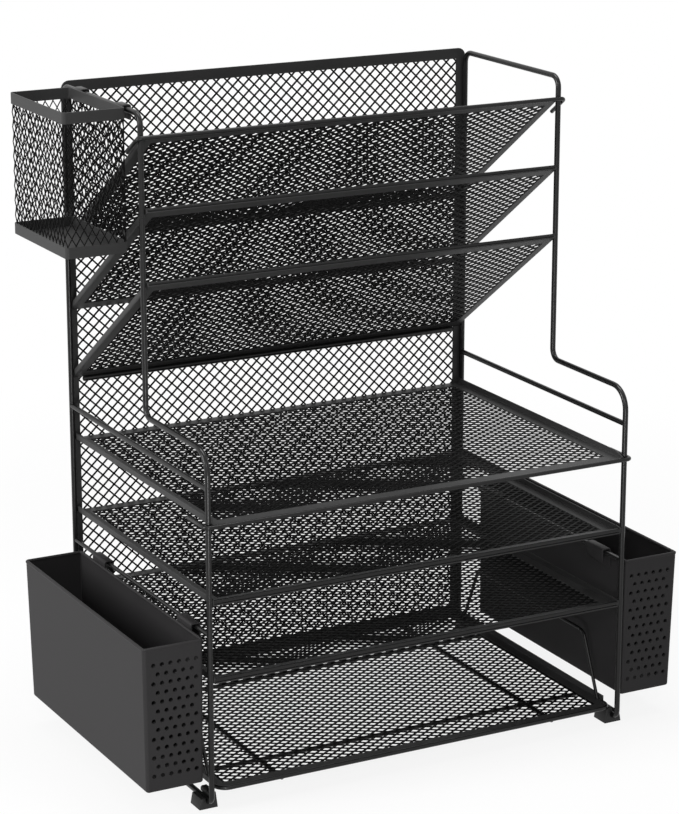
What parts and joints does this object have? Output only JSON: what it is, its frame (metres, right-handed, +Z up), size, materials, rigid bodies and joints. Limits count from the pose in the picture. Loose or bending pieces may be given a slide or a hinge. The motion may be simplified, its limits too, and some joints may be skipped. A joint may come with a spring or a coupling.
{
  "type": "desk organizer with letter trays, file pockets and a pull-out tray",
  "caption": "Black bent-wire and mesh desk organizer with stacked letter trays, slanted file pockets, a pull-out bottom tray, hanging pen boxes and a hanging mesh cup.",
  "frame": {"origin": "on the desk, at the middle of the whole object's footprint", "axes": "+X to the object's right as seen from the front, +Y to the back panel, +Z up"},
  "size_m": [0.429, 0.238, 0.4695],
  "materials": {
    "wire": "satin black powder coat on steel wire",
    "rim_sheet": "satin black powder coat on sheet steel",
    "mesh_sheet": "satin black powder coat on expanded steel mesh",
    "box_sheet": "matt dark grey powder coat on sheet steel",
    "foot_plastic": "matt black moulded plastic"
  },
  "bodies": {
    "sorter": {"side_frame_left": "wire", "side_frame_right": "wire", "guard_rail_left": "wire", "guard_rail_right": "wire", "box_rail_left": "wire", "box_rail_right": "wire", "cross_bar_front": "wire", "cross_bar_rear": "wire", "foot_front_left": "foot_plastic", "foot_front_right": "foot_plastic", "foot_rear_left": "foot_plastic", "foot_rear_right": "foot_plastic", "back_panel_rim": "rim_sheet", "back_panel_mesh": "mesh_sheet", "pocket_rest_bar": "wire", "pocket_1_wire": "wire", "pocket_1_rim": "rim_sheet", "pocket_1_mesh": "mesh_sheet", "pocket_2_wire": "wire", "pocket_2_rim": "rim_sheet", "pocket_2_mesh": "mesh_sheet", "pocket_3_wire": "wire", "pocket_3_rim": "rim_sheet", "pocket_3_mesh": "mesh_sheet", "tray_1_wire": "wire", "tray_1_rim": "rim_sheet", "tray_1_mesh": "mesh_sheet", "tray_2_wire": "wire", "tray_2_rim": "rim_sheet", "tray_2_mesh": "mesh_sheet", "tray_3_wire": "wire", "tray_3_rim": "rim_sheet", "tray_3_mesh": "mesh_sheet"},
    "drawer": {"drawer_wire": "wire", "drawer_rim": "rim_sheet", "drawer_mesh": "mesh_sheet", "drawer_runners": "wire", "drawer_guard_left": "wire", "drawer_guard_right": "wire"},
    "pen_box_left_body": {"pen_box_left": "box_sheet", "pen_box_front_left": "box_sheet", "pen_box_bead_left": "box_sheet"},
    "pen_box_right_body": {"pen_box_right": "box_sheet", "pen_box_front_right": "box_sheet", "pen_box_bead_right": "box_sheet"},
    "pen_cup": {"cup_rim": "rim_sheet", "cup_base": "rim_sheet", "cup_hooks": "rim_sheet", "cup_mesh_front": "mesh_sheet", "cup_mesh_rear": "mesh_sheet", "cup_mesh_inner": "mesh_sheet", "cup_mesh_outer": "mesh_sheet"}
  },
  "joints": [
    {"name": "drawer_slide", "type": "slide", "parent": "sorter", "child": "drawer", "axis": [0, -1, 0], "range_m": [0, 0.14]},
    {"name": "pen_box_left_lift", "type": "slide", "parent": "sorter", "child": "pen_box_left_body", "axis": [0, 0, 1], "range_m": [0, 0.012]},
    {"name": "pen_box_right_lift", "type": "slide", "parent": "sorter", "child": "pen_box_right_body", "axis": [0, 0, 1], "range_m": [0, 0.012]},
    {"name": "pen_cup_lift", "type": "slide", "parent": "sorter", "child": "pen_cup", "axis": [0, 0, 1], "range_m": [0, 0.012]}
  ]
}
